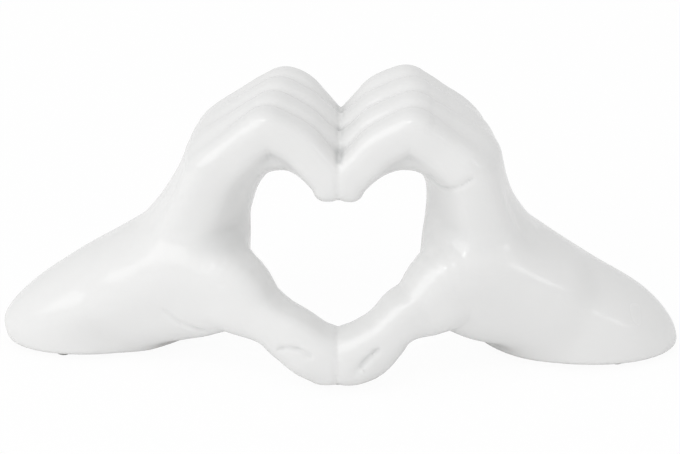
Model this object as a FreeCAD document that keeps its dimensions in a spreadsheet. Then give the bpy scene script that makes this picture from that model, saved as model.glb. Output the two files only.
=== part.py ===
import FreeCAD, Part
import math
import os

doc = FreeCAD.newDocument("HeartHands")
sheet = doc.addObject("Spreadsheet::Sheet", "Sizes")

# Sizes of the sculpture, in millimetres, and one angle in degrees
sizes = {
    "span": 340,
    "depth": 88,
    "height": 145,
    "palmBreadth": 64,
    "wallThick": 5,
    "plateThick": 5,
    "ledgeWidth": 1.5,
    "ventDiameter": 3.5,
    "footHeight": 3,
    "footDiameter": 11.5,
    "footFlatDiameter": 6.5,
    "indexRadius": 9.8,
    "middleRadius": 9.6,
    "ringRadius": 9.2,
    "littleRadius": 8.4,
    "webRadius": 11,
    "thumbRadius": 10.6,
    "thumbHalfWidth": 13.2,
    "palmTurnAngle": 14,
}
for row, (alias, value) in enumerate(sizes.items(), start=1):
    sheet.set(f"A{row}", alias)
    sheet.set(f"B{row}", str(value))
    sheet.setAlias(f"B{row}", alias)
doc.recompute()

sides = {"left": -1, "right": 1}

# Wrist and palm slices from the cut wrist upwards, each one as: share of the height above the feet,
# inner and outer edge as shares of half the span, middle front to back as a share of half the
# depth, share of the palm's breadth, share of the palm's turn
palmShares = {
    "left": [
        (0.000, 0.392, 1.004, 0.341, 0.94, -0.86),
        (0.078, 0.388, 0.992, 0.318, 0.96, -0.71),
        (0.176, 0.376, 0.925, 0.295, 0.98, -0.36),
        (0.288, 0.330, 0.803, 0.250, 0.97, 0.14),
        (0.387, 0.274, 0.668, 0.227, 0.94, 0.57),
        (0.486, 0.259, 0.576, 0.205, 0.94, 0.86),
        (0.584, 0.262, 0.518, 0.205, 0.94, 1.00),
        (0.669, 0.266, 0.480, 0.205, 0.92, 1.00),
        (0.725, 0.274, 0.415, 0.190, 0.87, 0.90),
    ],
    "right": [
        (0.000, 0.404, 1.002, 0.295, 0.95, -0.36),
        (0.078, 0.400, 0.986, 0.284, 0.97, -0.29),
        (0.176, 0.376, 0.912, 0.273, 0.97, -0.07),
        (0.288, 0.330, 0.768, 0.250, 0.94, 0.21),
        (0.387, 0.271, 0.632, 0.227, 0.92, 0.57),
        (0.486, 0.247, 0.544, 0.205, 0.94, 0.86),
        (0.584, 0.247, 0.505, 0.205, 0.94, 1.00),
        (0.669, 0.256, 0.478, 0.205, 0.92, 1.00),
        (0.725, 0.268, 0.425, 0.190, 0.87, 0.90),
    ],
}

# How many of those slices, from the wrist upwards, the hollow inside reaches through
hollowSliceCount = 8

# Fingers: height and reach of the knuckle, reach and height of the bend, height of the tip
fingerShares = {
    "left": {
        "index": (0.359, 0.732, 0.194, 0.901, 0.697),
        "middle": (0.359, 0.754, 0.188, 0.915, 0.793),
        "ring": (0.353, 0.761, 0.176, 0.919, 0.830),
        "little": (0.353, 0.761, 0.159, 0.922, 0.781),
    },
    "right": {
        "index": (0.376, 0.740, 0.200, 0.901, 0.697),
        "middle": (0.376, 0.774, 0.200, 0.915, 0.793),
        "ring": (0.376, 0.796, 0.194, 0.926, 0.830),
        "little": (0.371, 0.803, 0.182, 0.940, 0.781),
    },
}

# Fingers: how far the root starts out from and below the knuckle
fingerRootShares = (0.035, 0.150)

# Fingers: how much of the climb to the bend is done half way, and shares of the finger's radius
# across its thick and wide way at the start, the knuckle, half way and the bend
fingerClimbShare = 0.58
fingerRootThickShares = (1.05, 1.22, 1.06, 0.97)
fingerRootWideShares = (0.80, 1.10, 1.02, 0.98)

# Fingers past the bend: reach, share of the drop from the bend to the tip,
# thick and wide shares of the finger's radius
fingerTipShares = [
    (0.071, 0.72, 0.93, 0.94),
    (0.029, 0.93, 0.90, 0.92),
    (-0.018, 1.03, 0.80, 0.84),
]

# Fingers: place front to back of the knuckle, the bend and the tip, as shares of half the depth
fingerBackShares = {
    "index": (-0.341, -0.364, -0.409),
    "middle": (-0.023, -0.023, -0.045),
    "ring": (0.318, 0.318, 0.273),
    "little": (0.614, 0.614, 0.568),
}

# Web of clay under the bent fingers: reach, back, height, then shares of the web radius
webShares = {
    "left": [
        (0.329, 0.227, 0.599, 1.27, 2.10),
        (0.271, 0.216, 0.691, 1.18, 2.28),
        (0.218, 0.216, 0.760, 1.22, 2.33),
        (0.165, 0.205, 0.785, 1.28, 2.28),
        (0.100, 0.136, 0.732, 0.95, 1.80),
        (0.035, 0.114, 0.704, 0.88, 1.60),
        (-0.035, 0.114, 0.690, 0.82, 1.50),
    ],
    "right": [
        (0.353, 0.227, 0.613, 1.27, 2.10),
        (0.300, 0.216, 0.704, 1.12, 2.28),
        (0.253, 0.216, 0.784, 1.20, 2.33),
        (0.188, 0.205, 0.803, 1.36, 2.28),
        (0.106, 0.136, 0.732, 0.95, 1.80),
        (0.035, 0.114, 0.704, 0.88, 1.60),
        (-0.035, 0.114, 0.690, 0.82, 1.50),
    ],
}

# Thumb from the heel of the palm to the tip: reach, back, height,
# share of the thumb radius, share of the thumb half width
thumbShares = {
    "left": [
        (0.580, 0.050, 0.220, 1.60, 1.15),
        (0.447, -0.227, 0.282, 2.55, 1.44),
        (0.335, -0.386, 0.327, 2.08, 1.33),
        (0.253, -0.523, 0.267, 1.46, 1.12),
        (0.182, -0.625, 0.202, 1.18, 1.07),
        (0.124, -0.693, 0.142, 1.15, 1.04),
        (0.053, -0.730, 0.088, 1.14, 1.02),
        (-0.024, -0.739, 0.068, 1.08, 0.99),
    ],
    "right": [
        (0.580, 0.050, 0.220, 1.60, 1.15),
        (0.447, -0.227, 0.282, 2.55, 1.44),
        (0.335, -0.386, 0.331, 2.08, 1.33),
        (0.253, -0.523, 0.278, 1.46, 1.12),
        (0.182, -0.625, 0.213, 1.18, 1.07),
        (0.124, -0.693, 0.151, 1.15, 1.04),
        (0.053, -0.730, 0.091, 1.14, 1.02),
        (-0.024, -0.739, 0.068, 1.08, 0.99),
    ],
}

# Thumb: how many of those places make the heel, the last of them being the knuckle,
# and the knuckle's share of the thumb radius
heelPlaceCount = 4
thumbKnuckleShare = 1.50

# Ball of the hand low on the palm side: reach, back and height of its middle, then its half sizes
# sideways, front to back and up as shares of the palm's breadth
heelBallShares = (0.541, -0.060, 0.200, 0.43, 0.34, 0.33)

# Edge of the hand from the wrist up to the forefinger's knuckle: reach, back, height,
# then its half thickness and half width as shares of the palm's breadth
handEdgeShares = {
    "left": [
        (0.655, 0.020, 0.235, 0.250, 0.190),
        (0.588, -0.114, 0.317, 0.265, 0.280),
        (0.447, -0.090, 0.430, 0.345, 0.352),
        (0.415, -0.130, 0.665, 0.180, 0.272),
    ],
    "right": [
        (0.670, 0.020, 0.250, 0.230, 0.190),
        (0.600, -0.120, 0.312, 0.250, 0.280),
        (0.438, -0.070, 0.425, 0.335, 0.360),
        (0.424, -0.130, 0.668, 0.170, 0.272),
    ],
}

# Bumper feet: reach, then the middle front to back of what they stick to as a share of half the
# depth, and how far from that middle they sit as a share of half the palm's breadth
footShares = {
    "left_front_foot": (-0.824, 0.341, -0.664),
    "left_back_foot": (-0.659, 0.341, 0.664),
    "right_front_foot": (0.824, 0.295, -0.664),
    "right_back_foot": (0.659, 0.295, 0.680),
    "thumb_foot": (0.000, -0.730, 0),
}


def place(item, side, reach, back, high):
    item.setExpression("Placement.Base.x", f"{side} * {reach} * Sizes.span / 2")
    item.setExpression("Placement.Base.y", f"{back} * Sizes.depth / 2")
    item.setExpression("Placement.Base.z",
                       f"Sizes.footHeight + {high} * (Sizes.height - Sizes.footHeight)")


# Level oval slice of wrist or palm, made smaller by the named amount on every side
def palmSlice(name, side, shares, less):
    high, inner, outer, back, breadth, turn = shares
    item = doc.addObject("Part::Ellipse", name)
    across = f"({outer} - {inner}) * Sizes.span / 4 - {less}"
    along = f"{breadth} * Sizes.palmBreadth / 2 - {less}"
    item.setExpression("MajorRadius", f"max({across}; {along})")
    item.setExpression("MinorRadius", f"min({across}; {along})")
    item.Placement.Rotation = FreeCAD.Rotation(FreeCAD.Vector(0, 0, 1), 1)
    item.setExpression("Placement.Rotation.Angle",
                       f"{side} * {turn} * Sizes.palmTurnAngle + ({across} >= {along} ? 0 : 90)")
    place(item, side, (inner + outer) / 2, back, high)
    return item


# Oval section square to a limb's path, which leans by the given angle from upright
def section(name, side, point, lean, thick, wide):
    reach, back, high = point
    item = doc.addObject("Part::Ellipse", name)
    thickName, thickShare = thick
    wideName, wideShare = wide
    thickValue = thickShare * sizes[thickName]
    wideValue = wideShare * sizes[wideName]
    first = f"{thickShare} * Sizes.{thickName}"
    second = f"{wideShare} * Sizes.{wideName}"
    item.setExpression("MajorRadius", f"max({first}; {second})")
    item.setExpression("MinorRadius", f"min({first}; {second})")
    spin = 0 if thickValue >= wideValue else 90
    tilt = FreeCAD.Rotation(FreeCAD.Vector(0, 1, 0), lean)
    item.Placement.Rotation = tilt.multiply(FreeCAD.Rotation(FreeCAD.Vector(0, 0, 1), spin))
    place(item, side, reach, back, high)
    return item


def loft(name, sections):
    item = doc.addObject("Part::Loft", name)
    item.Sections = sections
    item.Solid = True
    return item


# Lean of a path at each of its points, from the points either side
def leans(side, points):
    angles = []
    for index in range(len(points)):
        before = points[max(index - 1, 0)]
        after = points[min(index + 1, len(points) - 1)]
        across = side * (after[0] - before[0]) * sizes["span"] / 2
        upward = (after[2] - before[2]) * (sizes["height"] - sizes["footHeight"])
        angles.append(math.degrees(math.atan2(across, upward)))
    return angles


# Oval sections along a limb: rows of reach, back, height, thick share, wide share
def limbSections(name, side, rows, thickName, wideName):
    points = [row[:3] for row in rows]
    sections = []
    for index, lean in enumerate(leans(side, points)):
        thick = (thickName, rows[index][3])
        wide = (wideName, rows[index][4])
        sections.append(section(f"{name}Section{index}", side, points[index], lean, thick, wide))
    return sections


def limb(name, side, rows, thickName, wideName):
    return loft(name, limbSections(name, side, rows, thickName, wideName))


# Thumb: the thick heel of the palm, a rounded knuckle, then the free part out to the tip
def thumb(handName, side):
    name = f"{handName}Thumb"
    rows = thumbShares[handName]
    sections = limbSections(name, side, rows, "thumbRadius", "thumbHalfWidth")
    knuckle = doc.addObject("Part::Sphere", f"{name}Knuckle")
    knuckle.setExpression("Radius", f"{thumbKnuckleShare} * Sizes.thumbRadius")
    place(knuckle, side, *rows[heelPlaceCount - 1][:3])
    return [loft(f"{name}Heel", sections[:heelPlaceCount]),
            knuckle,
            loft(f"{name}Free", sections[heelPlaceCount - 1:])]


# Fullness that the heel of the palm has over the wrist
def heelBall(handName, side):
    reach, back, high, across, along, upward = heelBallShares
    ball = doc.addObject("Part::Ellipsoid", f"{handName}HeelBall")
    ball.setExpression("Radius1", f"{upward} * Sizes.palmBreadth")
    ball.setExpression("Radius2", f"{across} * Sizes.palmBreadth")
    ball.setExpression("Radius3", f"{along} * Sizes.palmBreadth")
    place(ball, side, reach, back, high)
    return ball


# Finger: a part from knuckle to bend, a rounded bend and a part from bend to tip
def finger(handName, side, fingerName):
    knuckleReach, knuckleHigh, bendReach, bendHigh, tipHigh = fingerShares[handName][fingerName]
    knuckleBack, bendBack, tipBack = fingerBackShares[fingerName]
    out, down = fingerRootShares
    spots = [
        (knuckleReach + out, knuckleBack, knuckleHigh - down),
        (knuckleReach, knuckleBack, knuckleHigh),
        ((knuckleReach + bendReach) / 2, (knuckleBack + bendBack) / 2,
         knuckleHigh + fingerClimbShare * (bendHigh - knuckleHigh)),
        (bendReach, bendBack, bendHigh),
    ]
    rootRows = [(*spot, thick, wide) for spot, thick, wide
                in zip(spots, fingerRootThickShares, fingerRootWideShares)]
    tipRows = [rootRows[-1]]
    for reach, drop, thick, wide in fingerTipShares:
        back = bendBack + min(drop, 1) * (tipBack - bendBack)
        high = bendHigh + drop * (tipHigh - bendHigh)
        tipRows.append((reach, back, high, thick, wide))
    name = f"{handName}{fingerName.capitalize()}"
    radius = f"{fingerName}Radius"
    bend = doc.addObject("Part::Sphere", f"{name}Bend")
    bend.setExpression("Radius", f"Sizes.{radius}")
    place(bend, side, bendReach, bendBack, bendHigh)
    return [limb(f"{name}Root", side, rootRows, radius, radius),
            bend,
            limb(f"{name}Tip", side, tipRows, radius, radius)]


# Straight oval block the shape of the wrist's cut end, for the plate and its seat
def wristBlock(name, handName, side, less):
    outline = palmSlice(f"{name}Outline", side, palmShares[handName][0], less)
    block = doc.addObject("Part::Extrusion", name)
    block.Base = outline
    block.DirMode = "Custom"
    block.Dir = FreeCAD.Vector(0, 0, 1)
    block.setExpression("LengthFwd", "Sizes.plateThick")
    block.Solid = True
    return block


# Block that trims a hand: everything past the seam or under the cut wrist
def trimBlocks(handName, side):
    past = doc.addObject("Part::Box", f"{handName}PastSeam")
    past.setExpression("Length", "Sizes.span / 2")
    past.setExpression("Width", "2 * Sizes.depth")
    past.setExpression("Height", "2 * Sizes.height")
    past.setExpression("Placement.Base.x", f"-(1 + {side}) / 2 * Sizes.span / 2")
    past.setExpression("Placement.Base.y", "-Sizes.depth")
    past.setExpression("Placement.Base.z", "-Sizes.height / 2")
    under = doc.addObject("Part::Box", f"{handName}Under")
    under.setExpression("Length", "2 * Sizes.span")
    under.setExpression("Width", "2 * Sizes.depth")
    under.setExpression("Height", "Sizes.height")
    under.setExpression("Placement.Base.x", "-Sizes.span")
    under.setExpression("Placement.Base.y", "-Sizes.depth")
    under.setExpression("Placement.Base.z", "Sizes.footHeight - Sizes.height")
    return [past, under]


def pair(kind, name, base, tool):
    item = doc.addObject(kind, name)
    item.Base = base
    item.Tool = tool
    item.Refine = False
    return item


# Solids joined, or cut from the first, one after another
def chain(kind, name, items):
    whole = items[0]
    for index, item in enumerate(items[1:]):
        whole = pair(kind, f"{name}{index}", whole, item)
    return whole


# Hand: a hollow shell open at the wrist, with a stepped seat for the plate
def hand(handName, side):
    slices = palmShares[handName]
    palm = loft(f"{handName}Palm", [
        palmSlice(f"{handName}Slice{index}", side, shares, 0)
        for index, shares in enumerate(slices)])
    solids = [palm]
    solids.append(limb(f"{handName}Web", side, webShares[handName], "webRadius", "webRadius"))
    solids.append(limb(f"{handName}Edge", side, handEdgeShares[handName],
                       "palmBreadth", "palmBreadth"))
    solids.append(heelBall(handName, side))
    solids.extend(thumb(handName, side))
    for fingerName in fingerBackShares:
        solids.extend(finger(handName, side, fingerName))
    full = chain("Part::Fuse", f"{handName}Full", solids)
    seat = wristBlock(f"{handName}Seat", handName, side, "Sizes.wallThick")
    hollow = loft(f"{handName}Hollow", [
        palmSlice(f"{handName}HollowSlice{index}", side, shares,
                  "(Sizes.wallThick + Sizes.ledgeWidth)")
        for index, shares in enumerate(slices[:hollowSliceCount])])
    blocks = trimBlocks(handName, side)
    return chain("Part::Cut", f"{handName}Cut", [full, *blocks, hollow, seat])


# Plate that closes the wrist, with a vent for the kiln
def basePlate(handName, side):
    block = wristBlock(f"{handName}PlateBlock", handName, side, "Sizes.wallThick")
    high, inner, outer, back, breadth, turn = palmShares[handName][0]
    vent = doc.addObject("Part::Cylinder", f"{handName}Vent")
    vent.setExpression("Radius", "Sizes.ventDiameter / 2")
    vent.setExpression("Height", "4 * Sizes.plateThick")
    place(vent, side, (inner + outer) / 2, back, high)
    return pair("Part::Cut", f"{handName}Plate", block, vent)


# Bumper foot: a slice of a ball, widest where it sticks to the sculpture
def foot(name, reach, back, aside):
    ball = doc.addObject("Part::Sphere", f"{name}Ball")
    wide = "(Sizes.footDiameter / 2) ^ 2"
    narrow = "(Sizes.footFlatDiameter / 2) ^ 2"
    middle = f"(Sizes.footHeight ^ 2 + {wide} - {narrow}) / (2 * Sizes.footHeight)"
    ball.setExpression("Radius", f"sqrt(({middle}) ^ 2 + {narrow})")
    slab = doc.addObject("Part::Cylinder", f"{name}Slab")
    slab.setExpression("Radius", "Sizes.footDiameter")
    slab.setExpression("Height", "Sizes.footHeight")
    for item, high in ((ball, middle), (slab, "0")):
        item.setExpression("Placement.Base.x", f"{reach} * Sizes.span / 2")
        item.setExpression("Placement.Base.y",
                           f"{back} * Sizes.depth / 2 + {aside} * Sizes.palmBreadth / 2")
        item.setExpression("Placement.Base.z", high)
    return pair("Part::Common", f"{name}Slice", ball, slab)


nodes = {}
for handName, side in sides.items():
    nodes[f"{handName}_hand"] = hand(handName, side)
    nodes[f"{handName}_base_plate"] = basePlate(handName, side)
for footName, shares in footShares.items():
    nodes[footName] = foot(footName, *shares)
doc.recompute()

for item in doc.Objects:
    if "Invalid" in item.State or "Error" in item.State:
        raise RuntimeError(f"{item.Name} did not compute: {item.State}")

os.makedirs("parts", exist_ok=True)
for name, item in nodes.items():
    item.Label = name
    shape = item.Shape
    if shape.isNull() or not shape.isValid():
        raise RuntimeError(f"{name} is not a sound shape")
    if len(shape.Solids) != 1:
        raise RuntimeError(f"{name} has {len(shape.Solids)} solids")
    shape.exportStep(f"parts/{name}.step")
    box = shape.BoundBox
    print(name, round(shape.Volume), round(box.XMin, 2), round(box.XMax, 2), round(box.YMin, 2),
          round(box.YMax, 2), round(box.ZMin, 2), round(box.ZMax, 2))
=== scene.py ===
import math
import bmesh
import bpy
import numpy as np
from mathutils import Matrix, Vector


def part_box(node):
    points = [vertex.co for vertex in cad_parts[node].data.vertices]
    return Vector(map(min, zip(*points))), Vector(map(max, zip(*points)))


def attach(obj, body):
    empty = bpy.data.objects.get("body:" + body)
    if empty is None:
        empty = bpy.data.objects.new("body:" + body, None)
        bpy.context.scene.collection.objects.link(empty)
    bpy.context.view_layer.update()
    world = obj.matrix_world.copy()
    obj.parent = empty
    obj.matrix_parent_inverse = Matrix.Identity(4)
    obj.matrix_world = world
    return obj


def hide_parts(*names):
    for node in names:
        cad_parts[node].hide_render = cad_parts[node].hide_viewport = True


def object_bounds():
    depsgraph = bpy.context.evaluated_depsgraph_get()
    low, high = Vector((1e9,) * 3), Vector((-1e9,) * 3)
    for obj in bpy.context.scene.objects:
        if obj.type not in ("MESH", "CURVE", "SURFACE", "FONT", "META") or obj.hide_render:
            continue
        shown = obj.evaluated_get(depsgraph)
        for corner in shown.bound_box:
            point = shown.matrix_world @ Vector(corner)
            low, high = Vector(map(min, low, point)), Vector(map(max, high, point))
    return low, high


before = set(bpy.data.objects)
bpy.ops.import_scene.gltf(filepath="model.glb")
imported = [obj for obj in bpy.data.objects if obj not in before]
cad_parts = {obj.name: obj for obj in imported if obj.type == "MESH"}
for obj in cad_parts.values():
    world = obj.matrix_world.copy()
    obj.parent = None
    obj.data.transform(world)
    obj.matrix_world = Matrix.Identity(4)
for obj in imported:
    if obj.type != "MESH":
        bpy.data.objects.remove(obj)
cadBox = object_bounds()

# The hands are drawn in millimetres on a sculpture of these sizes and stretched to the frame's box.
# A place is given by its reach out from the seam, how far back it lies and how high
drawing = {"span": 340.0, "depth": 92.0, "height": 145.0, "footHeight": 3.0}
clay = {
    "wall": 6.5,         # thickness of the cast wall at the wrist
    "chamberTop": 36.0,  # how high the hollow over the plate goes
    "plateGap": 0.35,    # joint line round the plate
    "endBulge": 0.6,     # how far the palm's ends bulge, as a share of its smaller half width
}
modelling = {
    "grid": 1.15,         # spacing of the grid
    "roughGrid": 2.3,     # spacing while trying things
    "levels": (4, 2, 1),  # how many times coarser each grid is, half the one before
    "band": 1.9,          # how many coarse cells off the surface the next grid is worked out
    "sideMargin": 6.0,    # air beside and over the sculpture
    "topMargin": 8.0,
    "smoothing": 6,       # passes over the surface
    "pullIn": 0.5,        # how far a point goes to the middle of its neighbours in a pass
    "pushOut": -0.52,     # and how far back out again
    "meeting": 16.0,      # how far past the seam each hand is worked out
    "farAway": 1000.0,    # distance given to places with nothing near them
}
sides = {"left": -1, "right": 1}
plateTurns = {"left": -12, "right": -5}  # degrees
depthAxis = np.array([0.0, 1.0, 0.0])


def softMin(a, b, blend):
    rise = np.maximum(blend - np.abs(a - b), 0.0) / blend
    return np.minimum(a, b) - rise * rise * blend * 0.25


def softMax(a, b, blend):
    return -softMin(-a, -b, blend)


def smoothPath(stations, steps):
    rows = np.array(stations, float)
    before = np.vstack([2 * rows[:1] - rows[1:2], rows, 2 * rows[-1:] - rows[-2:-1]])
    found = []
    for i in range(len(rows) - 1):
        a, b, c, d = before[i:i + 4]
        for j in range(steps):
            t = j / steps
            found.append(0.5 * (2 * b + (c - a) * t + (2 * a - 5 * b + 4 * c - d) * t * t
                                + (3 * b - a - 3 * c + d) * t ** 3))
    found.append(rows[-1])
    return np.array(found)


# Distance to a limb drawn by places along it: reach, back, high, half thickness, half width
def limbField(points, stations, power=2.0, steps=7, reach=19.0):
    path = smoothPath(stations, steps)
    centres = path[:, :3]
    radii = path[:, 3:5]
    tangents = np.gradient(centres, axis=0)
    tangents /= np.linalg.norm(tangents, axis=1)[:, None]
    field = np.full(len(points), modelling["farAway"], np.float32)
    margin = radii.max() + reach
    inBox = np.all((points > centres.min(0) - margin) & (points < centres.max(0) + margin), axis=1)
    around = np.flatnonzero(inBox)
    nearby = points[around]
    best = np.full(len(nearby), modelling["farAway"], np.float32)
    for i in range(len(centres) - 1):
        start, end = centres[i], centres[i + 1]
        margin = radii[i:i + 2].max() + reach
        low = np.minimum(start, end) - margin
        high = np.maximum(start, end) + margin
        close = np.flatnonzero(np.all((nearby > low) & (nearby < high), axis=1))
        if not len(close):
            continue
        local = nearby[close]
        run = end - start
        share = np.clip((local - start) @ run / (run @ run), 0, 1)[:, None]
        tangent = tangents[i] + share * (tangents[i + 1] - tangents[i])
        tangent /= np.linalg.norm(tangent, axis=1)[:, None]
        wide = depthAxis - (tangent @ depthAxis)[:, None] * tangent
        wide /= np.linalg.norm(wide, axis=1)[:, None]
        thick = np.cross(wide, tangent)
        offset = local - start - share * run
        radius = radii[i] + share * (radii[i + 1] - radii[i])
        size = np.stack([radius[:, 0], radius[:, 1], radius.min(1)], 1)
        parts = np.stack([(offset * thick).sum(1), (offset * wide).sum(1),
                          (offset * tangent).sum(1)], 1)
        ratio = np.abs(parts) / size
        norm = (ratio ** power).sum(1) ** (1 / power) + 1e-6
        slope = np.sqrt((((ratio / norm[:, None]) ** (power - 1) / size) ** 2).sum(1)) + 1e-9
        best[close] = np.minimum(best[close], (norm - 1) / slope)
    field[around] = best
    return field


# Distance to level oval slices: high, inner, outer, back, half breadth, turn in degrees
def sliceField(points, rows, less=0.0, steps=6, reach=20.0):
    path = smoothPath([(high, (inner + outer) / 2, back, (outer - inner) / 2 - less,
                        breadth - less, turn)
                       for high, inner, outer, back, breadth, turn in rows], steps)
    level = path[:, 0]
    widest = path[:, 3:5].max() + reach
    low = np.array([path[:, 1].min() - widest, path[:, 2].min() - widest, level[0] - reach])
    high = np.array([path[:, 1].max() + widest, path[:, 2].max() + widest, level[-1] + reach])
    field = np.full(len(points), modelling["farAway"], np.float32)
    around = np.flatnonzero(np.all((points > low) & (points < high), axis=1))
    local = points[around]
    z = np.clip(local[:, 2], level[0], level[-1])
    centre, back, halfSpan, halfBreadth, turn = (
        np.interp(z, level, path[:, i]) for i in range(1, 6))
    centreSlope = np.interp(z, level, np.gradient(path[:, 1], level))
    spanSlope = np.interp(z, level, np.gradient(path[:, 3], level))
    out = local[:, 0] - centre
    deep = local[:, 1] - back
    above = local[:, 2] - z
    cosine, sine = np.cos(np.radians(turn)), np.sin(np.radians(turn))
    u = out * cosine + deep * sine
    v = deep * cosine - out * sine
    cap = np.minimum(halfSpan, halfBreadth) * clay["endBulge"]
    norm = np.sqrt((u / halfSpan) ** 2 + (v / halfBreadth) ** 2 + (above / cap) ** 2) + 1e-6
    gradU = u / halfSpan ** 2
    gradV = v / halfBreadth ** 2
    gradZ = above / cap ** 2 - gradU * centreSlope - (u / halfSpan) ** 2 / halfSpan * spanSlope
    slope = np.sqrt(gradU ** 2 + gradV ** 2 + gradZ ** 2) / norm + 1e-6
    field[around] = (norm - 1) / slope
    return field


# Wrist and palm from the cut end upwards: high, inner, outer, back, half breadth, turn
palms = {
    "left": [
        (-6, 67, 171, 15.5, 29, -13.2), (3, 67, 171, 15.5, 29.5, -12.7),
        (14, 66, 171.5, 15, 30.5, -9), (28, 64, 159, 13, 31.5, -5), (44, 47.5, 137, 11, 31, 2),
        (58, 44.9, 114, 10, 30, 8), (72, 45.1, 94.5, 9, 30, 12), (86, 46, 81.5, 9, 29.5, 14),
        (98, 47.5, 75, 9, 29, 14), (110, 47.5, 70.5, 8, 28, 12)],
    "right": [
        (-6, 70, 172, 12.5, 31, -5), (3, 69, 172, 12.5, 31.5, -5), (14, 68, 168.5, 12.5, 31.5, -4),
        (28, 64, 156, 12, 31, -1), (44, 42.5, 131, 11, 30, 3), (58, 40.6, 110.5, 10, 29.5, 8),
        (72, 42.6, 92.8, 9, 30, 12), (86, 44.3, 80.7, 9, 29.5, 14), (98, 45.5, 76.5, 9, 29, 14),
        (110, 47, 75, 8, 28, 12)],
}

# Fingers: half thickness, back at knuckle, bend and tip, reach and high of knuckle and bend
fingers = {
    "left": {
        "index": (9.8, (-15, -16, -17), (61, 107), (33, 131)),
        "middle": (9.6, (-1, -1, -3), (61, 110), (31, 132.5)),
        "ring": (9.2, (14, 14, 11), (60, 111), (29, 134)),
        "little": (8.4, (27, 27, 24), (60, 111), (27, 135)),
    },
    "right": {
        "index": (9.8, (-15, -16, -17), (64, 108), (34, 131)),
        "middle": (9.6, (-1, -1, -3), (64, 112), (34, 133)),
        "ring": (9.2, (14, 14, 11), (60.8, 114.5), (33, 135)),
        "little": (8.4, (27, 27, 24), (59.2, 115.3), (31, 136.5)),
    },
}

# A finger from its root in the palm to the knuckle: how far out from the knuckle on each hand,
# then how far below it, share of its place back, further back, shares of the half thickness
rootReaches = {"left": (20, 9, 0), "right": (15, 6.5, 0)}
fingerRoots = [(42, 0.6, 4, 1.15, 1.1), (20, 0.85, 1, 1.22, 1.1), (0, 1, 0, 1.2, 1.1)]

# A finger from its knuckle round the bend; a size is shares of the half thickness, thick and wide
fingerBend = {
    "climb": 0.58,                # how far up to the bend the place half way is
    "outward": 1,                 # and how far it stands out
    "halfWaySize": (1.05, 1.02),
    "before": (6, 2.2),           # out from the bend and below it
    "beforeSize": (1.02, 1.03),
    "bendSize": (1, 1.03),
    "tipReach": 5,                # from this reach on it lies as far back as its tip
    "widest": 0.98,               # no wider than this past the bend
}

# Fingers past the bend: reach, high, share of the half thickness
fingerTips = {
    "left": {
        "index": [(20, 124.5, 0.98), (13, 117, 0.97), (8, 111, 0.99), (3, 106.8, 1.06),
                  (-4, 105.6, 1.12)],
        "middle": [(20, 127, 1.0), (12.5, 120.5, 0.98), (8, 117, 0.95), (3, 114.5, 0.93),
                   (-4, 113.5, 0.85)],
        "ring": [(20, 130, 1.0), (12.5, 124.3, 0.98), (8, 121, 0.94), (3, 118.6, 0.9),
                 (-4, 118, 0.8)],
        "little": [(20, 132.5, 1.0), (13.3, 125.8, 0.97), (8, 120, 0.95), (3, 116.6, 0.9),
                   (-4, 115.5, 0.8)],
    },
    "right": {
        "index": [(20, 123.5, 0.98), (13, 116, 0.98), (8, 110.5, 1.0), (3, 106.6, 1.06),
                  (-4, 105.6, 1.12)],
        "middle": [(20, 127, 1.0), (12.5, 120.5, 0.98), (8, 117, 0.95), (3, 114.5, 0.93),
                   (-4, 113.5, 0.85)],
        "ring": [(20, 129.8, 1.0), (12.5, 124, 0.98), (8, 120.8, 0.94), (3, 118.5, 0.9),
                 (-4, 118, 0.8)],
        "little": [(20, 132.5, 1.0), (13.3, 126, 0.97), (8, 120.3, 0.95), (3, 117, 0.9),
                   (-4, 116, 0.8)],
    },
}


def fingerStations(handName, fingerName):
    radius, backs, knuckle, bend = fingers[handName][fingerName]
    knuckleBack, bendBack, tipBack = backs
    reach, high = knuckle
    bendReach, bendHigh = bend
    stations = [(reach + outward, knuckleBack * share + further, high - below,
                 radius * thick, radius * wide)
                for outward, (below, share, further, thick, wide)
                in zip(rootReaches[handName], fingerRoots)]
    thick, wide = fingerBend["halfWaySize"]
    stations.append(((reach + bendReach) / 2 + fingerBend["outward"],
                     (knuckleBack + bendBack) / 2,
                     high + (bendHigh - high) * fingerBend["climb"],
                     radius * thick, radius * wide))
    outward, below = fingerBend["before"]
    thick, wide = fingerBend["beforeSize"]
    stations.append((bendReach + outward, bendBack, bendHigh - below,
                     radius * thick, radius * wide))
    thick, wide = fingerBend["bendSize"]
    stations.append((bendReach, bendBack, bendHigh, radius * thick, radius * wide))
    for tipReach, tipHigh, size in fingerTips[handName][fingerName]:
        share = min(1, (bendReach - tipReach) / (bendReach - fingerBend["tipReach"]))
        back = bendBack + share * (tipBack - bendBack)
        wide = min(size, fingerBend["widest"])
        stations.append((tipReach, back, tipHigh, radius * size, radius * wide))
    return stations


# Clay that fills the palm side under the bent fingers: reach, back, high, half thick, half wide
webs = {
    "left": [(56, 8, 89, 13.5, 23), (47.5, 7, 103, 12, 24), (39, 6, 111.5, 11, 24),
             (28, 6, 114, 10.5, 24), (17, 5, 111, 9, 21), (6, 5, 106, 8, 18)],
    "right": [(60, 8, 90, 13.5, 23), (52, 7, 103, 12, 24), (44, 6, 112, 10.5, 24),
              (32, 6, 115, 11, 24), (18, 5, 111, 9.5, 21), (6, 5, 105, 8.5, 18)],
}

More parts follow.
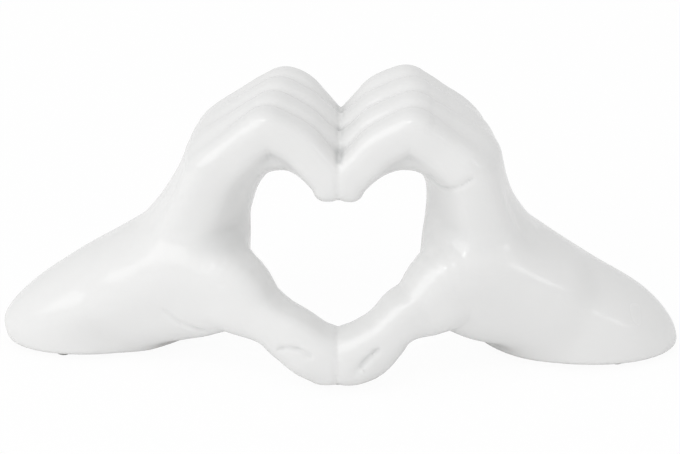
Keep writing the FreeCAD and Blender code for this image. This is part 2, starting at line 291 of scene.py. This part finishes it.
# Heel of the palm and thumb out to the tip: reach, back, high, half thick, half wide
thumbs = {
    "left": [(97, -2, 33.3, 26, 21), (76, -10, 42, 27, 19), (57, -17, 44.6, 20.8, 17.5),
             (43, -23, 37.2, 13.9, 15.2), (31, -27.5, 31.2, 11.7, 14.2),
             (21, -30.5, 24.5, 13.3, 14), (10, -32.3, 17.3, 13.9, 13.7),
             (-4, -32.3, 14.2, 13.4, 13.4)],
    "right": [(97, -2, 33.3, 26, 21), (76, -10, 42, 27, 19), (57, -17, 47.5, 21.5, 17.5),
              (43, -23, 40, 14.4, 15), (33, -27, 36.3, 12.1, 14.2), (26.5, -29, 31.1, 11.3, 14.1),
              (20, -30.6, 24, 12.3, 14), (10, -32.3, 17, 14.4, 13.7),
              (-4, -32.3, 14.2, 13.4, 13.4)],
}

# How softly the parts run into each other, in millimetres
blends = {"web": 8.0, "fingerTips": 1.2, "fingerRoots": 3.0, "fingers": 11.0, "thumb": 11.0,
          "seam": 0.6, "base": 2.4}
rootSoftening = {"from": 30, "over": 28}     # the reach over which the fingers' blend grows
squareness = {"fingers": 3.0, "thumb": 2.8}  # 2 is an oval section, more is squarer

# Groove where the two hands meet
seamGroove = {"depth": 0.7, "width": 1.3}

# Clay added on the front, or taken off where the height is negative: reach, high, size, height
dabs = {
    "left": [
        (21.6, 36.8, 6.5, 0.6), (14.1, 32.3, 6.0, 0.5), (8.5, 26.5, 5.5, 0.5),
        (18.0, 15.0, 6.0, 0.5)],
    "right": [
        (45.0, 56.5, 8.0, 0.5), (35.3, 48.1, 7.5, 0.5), (28.1, 42.5, 6.5, 0.5),
        (22.2, 37.4, 6.0, 0.5), (16.0, 31.1, 6.0, 0.5), (9.7, 26.0, 6.0, 0.5),
        (15.0, 14.0, 5.0, 0.5),
        (70.0, 117.0, 7.0, -0.8), (74.0, 110.0, 7.5, -0.8), (78.2, 101.0, 8.5, -0.9),
        (83.7, 90.1, 9.0, -0.9), (89.1, 78.9, 9.0, -0.9), (95.3, 68.7, 9.0, -0.9),
        (104.3, 50.0, 9.0, 0.6), (114.5, 43.0, 9.5, 0.6), (126.0, 33.9, 10.0, 0.6),
        (137.3, 26.8, 9.5, 0.6), (148.3, 20.0, 9.5, 0.5)],
}

# Lines pressed into the front: blend, half width, then reach and high of the places along each
lines = {
    "left": [
        (1.6, 0.7, [(28.0, 24.4), (22.7, 25.4), (18.3, 24.8), (13.4, 21.9)]),
        (2.5, 0.2, [(86.0, 35.5), (81.0, 31.0), (75.0, 28.0), (67.0, 26.0)])],
    "right": [
        (1.4, 1.0, [(19.9, 25.2), (16.5, 22.3), (13.1, 18.6), (10.2, 14.6), (8.2, 11.0)]),
        (2.0, 0.3, [(43.8, 108.0), (46.0, 104.3), (49.2, 102.3), (52.1, 102.1), (55.8, 104.5),
                    (59.5, 106.5), (64.0, 110.0)])],
}


# How much the drawing is stretched to fill the frame's box, in metres for each millimetre
def frameScale():
    low, high = cadBox
    drawn = np.array([drawing["span"], drawing["depth"], drawing["height"]])
    return (np.array(high) - np.array(low)) / drawn


# Plate of one hand, from its box: centre, half lengths and turn of its oval, and its top
def plateOval(name):
    low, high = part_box(f"{name}_base_plate")
    scale = frameScale()
    low = np.array(low) / scale
    high = np.array(high) / scale
    centre = (low + high) / 2
    across, deep = ((high - low) / 2)[:2]
    turn = math.radians(plateTurns[name])
    total, difference = across ** 2 + deep ** 2, across ** 2 - deep ** 2
    difference /= math.cos(2 * turn)
    half = math.sqrt((total + difference) / 2), math.sqrt((total - difference) / 2)
    return (abs(centre[0]), centre[1]), half, turn, high[2]


# Distance to an upright wall on an oval, drawn in by "less"
def ovalField(points, centre, half, turn, less):
    out = points[:, 0] - centre[0]
    deep = points[:, 1] - centre[1]
    u = (out * math.cos(turn) + deep * math.sin(turn)) / (half[0] - less)
    v = (deep * math.cos(turn) - out * math.sin(turn)) / (half[1] - less)
    norm = np.sqrt(u * u + v * v) + 1e-6
    return (norm - 1) * (min(half) - less)


# Hand before the small forms: palm, web, fingers and thumb run together
def plainHand(points, name):
    body = softMin(sliceField(points, palms[name]), limbField(points, webs[name]), blends["web"])
    together = None
    spread = np.clip((points[:, 0] - rootSoftening["from"]) / rootSoftening["over"], 0, 1)
    for fingerName in fingers[name]:
        one = limbField(points, fingerStations(name, fingerName), squareness["fingers"])
        blend = blends["fingerTips"] + blends["fingerRoots"] * spread
        together = one if together is None else softMin(together, one, blend)
    body = softMin(body, together, blends["fingers"])
    thumb = limbField(points, thumbs[name], squareness["thumb"])
    return softMin(body, thumb, blends["thumb"])


probe = {"margin": 5, "step": 0.5}  # for feeling where the front of a hand is


# Places on the front of a hand, given by reach and high alone
def frontOf(name, spots):
    half = drawing["depth"] / 2
    backs = np.arange(-half - probe["margin"], half, probe["step"])
    column = np.array([(reach, back, high) for reach, high in spots for back in backs], np.float32)
    inside = (plainHand(column, name) < 0).reshape(len(spots), len(backs))
    return [(reach, back, high) for (reach, high), back in zip(spots, backs[inside.argmax(1)])]


# Dabs and pressed lines of one hand, set on its front
def smallForms(name):
    spots = frontOf(name, [dab[:2] for dab in dabs[name]])
    placed = [(np.array(spot), *dab[2:]) for spot, dab in zip(spots, dabs[name])]
    pressed = [(blend, [(*spot, half, half) for spot in frontOf(name, places)])
               for blend, half, places in lines[name]]
    return placed, pressed


details = {}


def handField(points, name):
    if name not in details:
        details[name] = smallForms(name)
    placed, pressed = details[name]
    body = plainHand(points, name)
    for spot, size, height in placed:
        away = ((points - spot) ** 2).sum(1)
        body = body - height * np.exp(-away / (size * size))
    for blend, places in pressed:
        body = softMax(body, -limbField(points, places, steps=5, reach=3.0), blend)
    body = body + seamGroove["depth"] * np.exp(-(points[:, 0] / seamGroove["width"]) ** 2)
    body = softMax(body, drawing["footHeight"] - points[:, 2], blends["base"])
    *oval, plateTop = plateOval(name)
    seat = np.maximum(ovalField(points, *oval, -clay["plateGap"]), points[:, 2] - plateTop)
    chamber = np.maximum(sliceField(points, palms[name], clay["wall"]),
                         points[:, 2] - clay["chamberTop"])
    return np.maximum(body, -np.minimum(seat, chamber))


# Both hands, run together where they meet
def heartField(points):
    field = np.full(len(points), modelling["farAway"], np.float32)
    for name, side in sides.items():
        own = np.flatnonzero(points[:, 0] * side > -modelling["meeting"])
        local = points[own] * np.array([side, 1, 1], np.float32)
        field[own] = softMin(field[own], handField(local, name), blends["seam"])
    return field


# Values of a field on a grid, worked out only near the surface, from coarse to fine
def sculptGrid(field, low, high, spacing):
    levels = modelling["levels"]
    counts = np.ceil((high - low) / (spacing * levels[0])).astype(int) * levels[0] + 1
    values = None
    for level in levels:
        shape = (counts - 1) // level + 1
        if values is None:
            wanted = np.ones(shape, bool)
            grid = np.zeros(shape, np.float32)
        else:
            grid = np.repeat(np.repeat(np.repeat(values, 2, 0), 2, 1), 2, 2)
            grid = grid[:shape[0], :shape[1], :shape[2]].copy()
            wanted = np.abs(grid) < level * 2 * spacing * modelling["band"]
        index = np.argwhere(wanted)
        points = (low + index * spacing * level).astype(np.float32)
        grid[wanted] = field(points)
        values = grid
    return values


# Net of four-sided faces through the cells that the surface crosses
def netOf(values, low, spacing):
    inside = values < 0
    count = np.zeros(np.array(values.shape) - 1, np.uint8)
    corners = [(x, y, z) for z in (0, 1) for y in (0, 1) for x in (0, 1)]
    nx, ny, nz = count.shape
    for x, y, z in corners:
        count += inside[x:nx + x, y:ny + y, z:nz + z]
    active = (count > 0) & (count < 8)
    cells = np.argwhere(active)
    number = -np.ones(active.shape, np.int64)
    number[active] = np.arange(len(cells))
    heights = [values[cells[:, 0] + x, cells[:, 1] + y, cells[:, 2] + z] for x, y, z in corners]
    total = np.zeros((len(cells), 3))
    crossings = np.zeros(len(cells))
    for a, b in [(0, 1), (2, 3), (4, 5), (6, 7), (0, 2), (1, 3), (4, 6), (5, 7),
                 (0, 4), (1, 5), (2, 6), (3, 7)]:
        crossed = (heights[a] < 0) != (heights[b] < 0)
        share = heights[a][crossed] / (heights[a][crossed] - heights[b][crossed])
        first, second = np.array(corners[a], float), np.array(corners[b], float)
        total[crossed] += first + share[:, None] * (second - first)
        crossings[crossed] += 1
    vertices = low + spacing * (cells + total / crossings[:, None])
    faces = []
    for axis in range(3):
        before = [slice(None)] * 3
        after = [slice(None)] * 3
        before[axis] = slice(0, -1)
        after[axis] = slice(1, None)
        edges = np.argwhere(inside[tuple(before)] != inside[tuple(after)])
        u, v = (axis + 1) % 3, (axis + 2) % 3
        outward = inside[tuple(edges.T)]
        ring = []
        for stepU, stepV in [(1, 1), (0, 1), (0, 0), (1, 0)]:
            cell = edges.copy()
            cell[:, u] -= stepU
            cell[:, v] -= stepV
            ring.append(number[tuple(cell.T)])
        ring = np.stack(ring, 1)
        ring[~outward] = ring[~outward][:, ::-1]
        faces.append(ring)
    return vertices, np.concatenate(faces)


# Evens out the net without shrinking it: one pass in, one pass a little further out
def smoothNet(vertices, faces, passes):
    first = np.concatenate([faces[:, i] for i in range(4)])
    second = np.concatenate([faces[:, (i + 1) % 4] for i in range(4)])
    count = np.bincount(first, minlength=len(vertices))[:, None]
    for i in range(passes * 2):
        pull = modelling["pullIn"] if i % 2 == 0 else modelling["pushOut"]
        mean = np.stack([np.bincount(first, vertices[second, axis], len(vertices))
                         for axis in range(3)], 1) / count
        vertices = vertices + pull * (mean - vertices)
    return vertices


def meshObject(name, vertices, faces):
    mesh = bpy.data.meshes.new(name)
    mesh.from_pydata(vertices.tolist(), [], faces.tolist())
    mesh.polygons.foreach_set("use_smooth", [True] * len(mesh.polygons))
    made = bpy.data.objects.new(name, mesh)
    bpy.context.scene.collection.objects.link(made)
    return made


shelterSteps = (2.5, 6.0)  # how far off the surface it is felt


# How sheltered each point of the surface is, from 0 in the open to 1 deep in a crease; it sets
# where painted shade darkens the glaze
def shelterOf(vertices, normals):
    shelter = np.zeros(len(vertices))
    for step in shelterSteps:
        away = heartField((vertices + normals * step).astype(np.float32))
        shelter += np.clip(1 - away / step, 0, 1) / len(shelterSteps)
    return shelter


def sculptBoth():
    spacing = modelling["grid"]
    margin = modelling["sideMargin"]
    half = np.array([drawing["span"] / 2 + margin, drawing["depth"] / 2 + margin, 0])
    low = -half
    high = half + np.array([0, 0, drawing["height"] + modelling["topMargin"]])
    values = sculptGrid(heartField, low, high, spacing)
    vertices, faces = netOf(values, low, spacing)
    vertices = smoothNet(vertices, faces, modelling["smoothing"])
    a, b, c, d = (vertices[faces[:, i]] for i in range(4))
    faceNormals = np.cross(c - a, d - b)
    normals = np.stack([np.bincount(faces.ravel(), np.repeat(faceNormals[:, axis], 4),
                                    len(vertices)) for axis in range(3)], 1)
    normals /= np.linalg.norm(normals, axis=1)[:, None] + 1e-9
    shelter = shelterOf(vertices, normals)
    print(f"both hands: {len(faces)} faces")
    return vertices * frameScale(), faces, shelter


seamOverlap = 0.002  # metres past the seam that stay on until the cut


# One hand: what lies on its side of the seam, closed with a flat face there
def cutHand(name, vertices, faces, shelter):
    side = sides[name]
    keep = (vertices[faces][:, :, 0] * side).max(1) > -seamOverlap
    used = np.unique(faces[keep])
    number = np.zeros(len(vertices), int)
    number[used] = np.arange(len(used))
    made = meshObject(f"{name}_hand_glazed", vertices[used], number[faces[keep]])
    # shelter sets the painted shade in the glaze's creases
    attribute = made.data.attributes.new("shelter", "FLOAT", "POINT")
    attribute.data.foreach_set("value", shelter[used].astype(np.float32))
    shape = bmesh.new()
    shape.from_mesh(made.data)
    cut = bmesh.ops.bisect_plane(shape, geom=shape.verts[:] + shape.edges[:] + shape.faces[:],
                                 plane_co=(0, 0, 0), plane_no=(-side, 0, 0), clear_outer=True)
    rim = [item for item in cut["geom_cut"] if isinstance(item, bmesh.types.BMEdge)]
    for edge in rim:
        edge.smooth = False
    cap = bmesh.ops.triangle_fill(shape, edges=rim, use_beauty=True, normal=(-side, 0, 0))
    for item in cap["geom"]:
        if isinstance(item, bmesh.types.BMFace):
            item.smooth = False
            if item.normal.x * side > 0:
                item.normal_flip()
    shape.to_mesh(made.data)
    shape.free()
    return made


# Empty material, its tree and its shader
def newMaterial(name):
    material = bpy.data.materials.new(name)
    material.use_nodes = True
    tree = material.node_tree
    shader = next(n for n in tree.nodes if n.type == "BSDF_PRINCIPLED")
    return material, tree, shader


# Node with its own settings, or else the values of its inputs
def addNode(tree, kind, **settings):
    node = tree.nodes.new(kind)
    for key, value in settings.items():
        if hasattr(node, key):
            setattr(node, key, value)
        else:
            node.inputs[key.replace("_", " ")].default_value = value
    return node


noises = {"broad": (2.0, 0.45), "fine": (3.0, 0.6)}  # detail and roughness


# Fine noise that puts out a value and a height, used by every material of the sculpture
def grainGroup():
    group = bpy.data.node_groups.new("surfaceGrain", "ShaderNodeTree")
    for name, kind in (("Coordinate", "Vector"), ("Broad Scale", "Float"),
                       ("Fine Scale", "Float"), ("Fine Share", "Float")):
        group.interface.new_socket(name=name, in_out="INPUT", socket_type=f"NodeSocket{kind}")
    for name in ("Value", "Height"):
        group.interface.new_socket(name=name, in_out="OUTPUT", socket_type="NodeSocketFloat")
    entry = group.nodes.new("NodeGroupInput")
    leave = group.nodes.new("NodeGroupOutput")
    broad, fine = (addNode(group, "ShaderNodeTexNoise", Detail=detail, Roughness=roughness)
                   for detail, roughness in noises.values())
    mixed = addNode(group, "ShaderNodeMix", data_type="FLOAT")
    link = group.links.new
    link(entry.outputs["Coordinate"], broad.inputs["Vector"])
    link(entry.outputs["Coordinate"], fine.inputs["Vector"])
    link(entry.outputs["Broad Scale"], broad.inputs["Scale"])
    link(entry.outputs["Fine Scale"], fine.inputs["Scale"])
    link(entry.outputs["Fine Share"], mixed.inputs[0])
    link(broad.outputs["Fac"], mixed.inputs[2])
    link(fine.outputs["Fac"], mixed.inputs[3])
    link(broad.outputs["Fac"], leave.inputs["Value"])
    link(mixed.outputs[0], leave.inputs["Height"])
    return group


def addGrain(tree, group, broadScale, fineScale, fineShare):
    place = tree.nodes.new("ShaderNodeTexCoord")
    grain = tree.nodes.new("ShaderNodeGroup")
    grain.node_tree = group
    grain.inputs["Broad Scale"].default_value = broadScale
    grain.inputs["Fine Scale"].default_value = fineScale
    grain.inputs["Fine Share"].default_value = fineShare
    tree.links.new(place.outputs["Object"], grain.inputs["Coordinate"])
    return grain


def remap(tree, source, fromLow, fromHigh, toLow, toHigh):
    node = addNode(tree, "ShaderNodeMapRange")
    tree.links.new(source, node.inputs["Value"])
    for key, value in (("From Min", fromLow), ("From Max", fromHigh),
                       ("To Min", toLow), ("To Max", toHigh)):
        node.inputs[key].default_value = value
    return node.outputs["Result"]


def mixColours(tree, factor, first, second):
    node = addNode(tree, "ShaderNodeMix", data_type="RGBA")
    tree.links.new(factor, node.inputs[0])
    for socket, value in ((node.inputs[6], first), (node.inputs[7], second)):  # its two colours
        if isinstance(value, tuple):
            socket.default_value = (*value, 1)
        else:
            tree.links.new(value, socket)
    return node.outputs[2]


def addBump(tree, height, shader, distance):
    bump = addNode(tree, "ShaderNodeBump", Strength=1.0, Distance=distance)
    tree.links.new(height, bump.inputs["Height"])
    tree.links.new(bump.outputs["Normal"], shader.inputs["Normal"])


glaze = {
    "open": (0.80, 0.80, 0.795),
    # painted shade: a darker grey put into the glaze colour in creases and between parts, where
    # shade falls
    "paintedShade": (0.61, 0.62, 0.62),
    "paintedShadeRange": (0.12, 0.85),      # shelter at which the painted shade in creases starts and is darkest
    "cloud": 0.97,                # how dark the faint clouds in it are
    "grain": (22.0, 160.0, 0.12),  # broad scale, fine scale and fine share
    "roughness": (0.23, 0.29),
    "coatWeight": 0.35,
    "coatRoughness": 0.10,
    "ior": 1.5,
    "bump": 0.0002,
}


def glazeMaterial(group):
    material, tree, shader = newMaterial("whiteGlaze")
    grain = addGrain(tree, group, *glaze["grain"])
    shelter = addNode(tree, "ShaderNodeAttribute", attribute_name="shelter")
    # Painted shade: the glaze colour goes darker grey where the surface is sheltered
    paintedShade = remap(tree, shelter.outputs["Fac"], *glaze["paintedShadeRange"], 0, 1)
    tint = mixColours(tree, grain.outputs["Value"], glaze["open"],
                      tuple(part * glaze["cloud"] for part in glaze["open"]))
    colour = mixColours(tree, paintedShade, tint, glaze["paintedShade"])
    tree.links.new(colour, shader.inputs["Base Color"])
    rough = remap(tree, grain.outputs["Value"], 0, 1, *glaze["roughness"])
    tree.links.new(rough, shader.inputs["Roughness"])
    shader.inputs["Coat Weight"].default_value = glaze["coatWeight"]
    shader.inputs["Coat Roughness"].default_value = glaze["coatRoughness"]
    shader.inputs["IOR"].default_value = glaze["ior"]
    addBump(tree, grain.outputs["Height"], shader, glaze["bump"])
    return material


bareClay = {
    "light": (0.74, 0.70, 0.64),
    "dark": (0.62, 0.57, 0.50),
    "grain": (90.0, 1400.0, 0.6),
    "mottle": (0.3, 0.7),
    "roughness": 0.86,
    "bump": 0.00012,
    "rise": 0.0005,    # how far above the plate the wiped rim goes
    "facing": -0.85,   # how squarely a face looks down to be wiped bare
}


def bareClayMaterial(group):
    material, tree, shader = newMaterial("bareClay")
    grain = addGrain(tree, group, *bareClay["grain"])
    factor = remap(tree, grain.outputs["Height"], *bareClay["mottle"], 0, 1)
    colour = mixColours(tree, factor, bareClay["light"], bareClay["dark"])
    tree.links.new(colour, shader.inputs["Base Color"])
    shader.inputs["Roughness"].default_value = bareClay["roughness"]
    addBump(tree, grain.outputs["Height"], shader, bareClay["bump"])
    return material


bumper = {
    "light": (0.62, 0.62, 0.60),
    "dark": (0.50, 0.50, 0.49),
    "grain": (300.0, 2200.0, 0.4),
    "mottle": (0.3, 0.7),
    "roughness": (0.28, 0.42),
    "clearness": 0.25,
    "ior": 1.45,
    "bump": 0.00003,
}


def bumperMaterial(group):
    material, tree, shader = newMaterial("softBumper")
    grain = addGrain(tree, group, *bumper["grain"])
    factor = remap(tree, grain.outputs["Value"], *bumper["mottle"], 0, 1)
    colour = mixColours(tree, factor, bumper["light"], bumper["dark"])
    tree.links.new(colour, shader.inputs["Base Color"])
    rough = remap(tree, grain.outputs["Value"], *bumper["mottle"], *bumper["roughness"])
    tree.links.new(rough, shader.inputs["Roughness"])
    shader.inputs["Transmission Weight"].default_value = bumper["clearness"]
    shader.inputs["IOR"].default_value = bumper["ior"]
    addBump(tree, grain.outputs["Height"], shader, bumper["bump"])
    return material


print("materials")
grainNodes = grainGroup()
glazed = glazeMaterial(grainNodes)
bare = bareClayMaterial(grainNodes)
rubber = bumperMaterial(grainNodes)

print("hands")
sculpted = sculptBoth()
for name in sides:
    hand = cutHand(name, *sculpted)
    hand.data.materials.append(glazed)
    hand.data.materials.append(bare)
    under = np.array([polygon.center.z for polygon in hand.data.polygons])
    facing = np.array([polygon.normal.z for polygon in hand.data.polygons])
    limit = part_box(f"{name}_base_plate")[1].z + bareClay["rise"]
    slots = ((under < limit) & (facing < bareClay["facing"])).astype(int)
    hand.data.polygons.foreach_set("material_index", slots)
    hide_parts(f"{name}_hand")
    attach(hand, "root")

print("plates and feet")
for name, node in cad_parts.items():
    if name.endswith("_plate"):
        node.data.materials.clear()
        node.data.materials.append(bare)
    if name.endswith("_foot"):
        node.data.materials.clear()
        node.data.materials.append(rubber)

stageLook = {
    "floorSize": 8.0,
    "floor": (0.92, 0.92, 0.92),
    "floorRoughness": 0.9,
    "glow": 0.95,   # how much of the floor shows as plain white
    "world": 0.77,
}


def stageFloor():
    half = stageLook["floorSize"] / 2
    corners = np.array([(-half, -half, 0), (half, -half, 0), (half, half, 0), (-half, half, 0)])
    floor = meshObject("floor", corners, np.array([(0, 1, 2, 3)]))
    material, tree, shader = newMaterial("paleFloor")
    shader.inputs["Base Color"].default_value = (*stageLook["floor"], 1)
    shader.inputs["Roughness"].default_value = stageLook["floorRoughness"]
    light = tree.nodes.new("ShaderNodeLightPath")
    glow = addNode(tree, "ShaderNodeEmission", Strength=1.0)
    mix = tree.nodes.new("ShaderNodeMixShader")
    share = addNode(tree, "ShaderNodeMath", operation="MULTIPLY")
    share.inputs[1].default_value = stageLook["glow"]
    output = next(n for n in tree.nodes if n.type == "OUTPUT_MATERIAL")
    tree.links.new(light.outputs["Is Camera Ray"], share.inputs[0])
    tree.links.new(share.outputs[0], mix.inputs[0])
    tree.links.new(shader.outputs[0], mix.inputs[1])
    tree.links.new(glow.outputs[0], mix.inputs[2])
    tree.links.new(mix.outputs[0], output.inputs["Surface"])
    floor.data.materials.append(material)


def stageWorld():
    world = bpy.data.worlds.new("softRoom")
    bpy.context.scene.world = world
    world.use_nodes = True
    tree = world.node_tree
    tree.nodes.clear()
    output = tree.nodes.new("ShaderNodeOutputWorld")
    back = addNode(tree, "ShaderNodeBackground")
    light = tree.nodes.new("ShaderNodeLightPath")
    back.inputs["Color"].default_value = (1, 1, 1, 1)
    strength = remap(tree, light.outputs["Is Camera Ray"], 0, 1, stageLook["world"], 1.0)
    tree.links.new(strength, back.inputs["Strength"])
    tree.links.new(back.outputs[0], output.inputs["Surface"])


# Lamps: place, size across and along, power in watts
lamps = {
    "keyLamp": ((-1.57, -1.32, 1.67), 2.5, 2.5, 24.5),
    "rimLamp": ((1.83, -1.43, 0.62), 0.45, 0.45, 1.4),
    "sparkLamp": ((-0.5, -1.2, 2.3), 0.38, 0.38, 2.4),
}


def aimed(made, place, target):
    made.location = place
    made.rotation_euler = (Vector(target) - Vector(place)).to_track_quat("-Z", "Y").to_euler()


view = {
    "azimuth": 1.5,
    "elevation": 27.0,
    "distance": 1.3,
    "centre": (0.0, 0.006, 0.067),
    "lens": 137.6,
    "sensor": 36.0,
    "clip": (0.05, 40.0),
}


def stageLights():
    for name, (place, across, along, power) in lamps.items():
        data = bpy.data.lights.new(name, "AREA")
        data.shape = "RECTANGLE"
        data.size = across
        data.size_y = along
        data.energy = power
        made = bpy.data.objects.new(name, data)
        bpy.context.scene.collection.objects.link(made)
        aimed(made, place, view["centre"])


def stageCamera():
    data = bpy.data.cameras.new("camera")
    data.lens = view["lens"]
    data.sensor_width = view["sensor"]
    data.clip_start, data.clip_end = view["clip"]
    made = bpy.data.objects.new("camera", data)
    bpy.context.scene.collection.objects.link(made)
    azimuth, elevation = math.radians(view["azimuth"]), math.radians(view["elevation"])
    towards = Vector((math.sin(azimuth) * math.cos(elevation),
                      -math.cos(azimuth) * math.cos(elevation), math.sin(elevation)))
    aimed(made, Vector(view["centre"]) + towards * view["distance"], view["centre"])
    bpy.context.scene.camera = made


print("stage")
stageFloor()
stageWorld()
stageLights()
stageCamera()
bpy.context.scene.view_settings.view_transform = "Standard"
